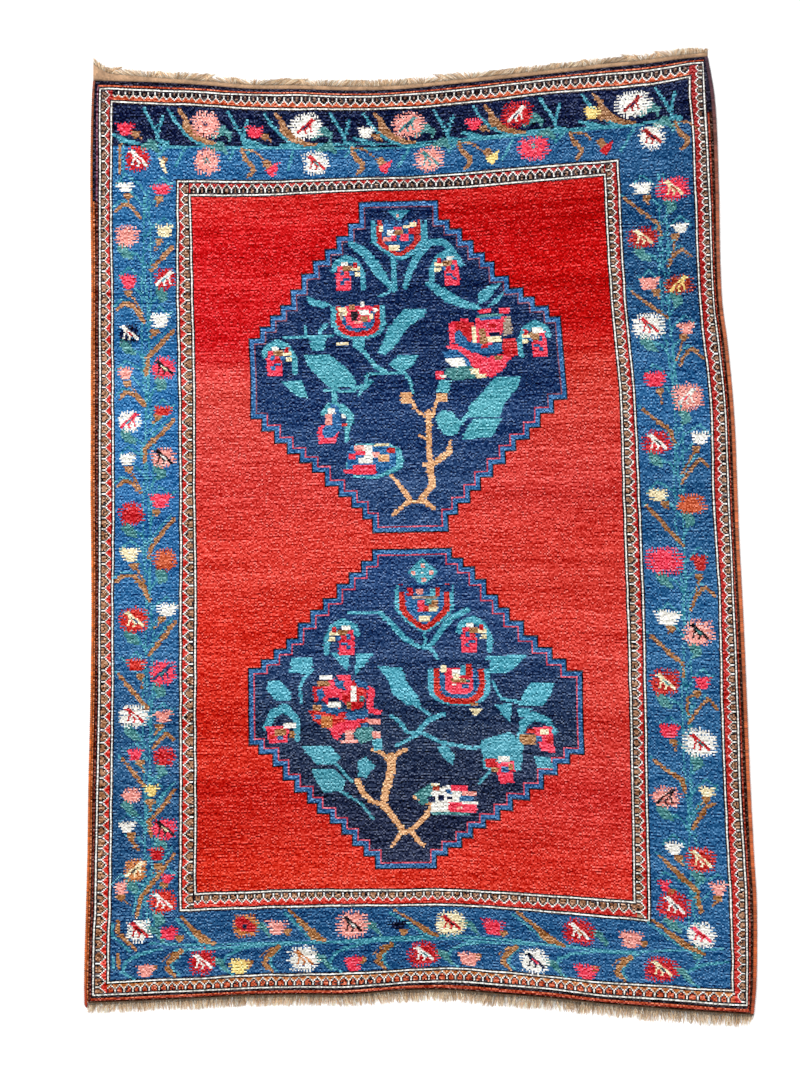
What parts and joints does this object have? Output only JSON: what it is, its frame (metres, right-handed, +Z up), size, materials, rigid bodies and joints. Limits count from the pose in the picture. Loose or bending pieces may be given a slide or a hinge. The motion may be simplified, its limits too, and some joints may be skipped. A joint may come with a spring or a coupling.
{
  "type": "caucasian rug",
  "caption": "Hand-knotted wool pile rug laid flat, with stepped medallions, flowered border, overcast selvedges and fringed ends",
  "frame": {"origin": "on the underside, under the middle of the rug's box, where it rests on the floor", "axes": "+X across the rug, +Y along its length towards the narrower end, +Z up out of the pile"},
  "size_m": [1.4882, 2.1894, 0.0081],
  "materials": {
    "pile_wool": "knotted wool pile, matt",
    "selvedge_wool_left": "overcast wool yarn, matt",
    "selvedge_wool_right": "overcast wool yarn, matt",
    "fringe_wool_top": "undyed wool web and warp ends, matt",
    "fringe_wool_bottom": "undyed wool web and warp ends, matt"
  },
  "bodies": {
    "root": {"pile_rug": "pile_wool", "selvedge_left": "selvedge_wool_left", "selvedge_right": "selvedge_wool_right", "fringe_top": "fringe_wool_top", "fringe_bottom": "fringe_wool_bottom"}
  },
  "joints": []
}
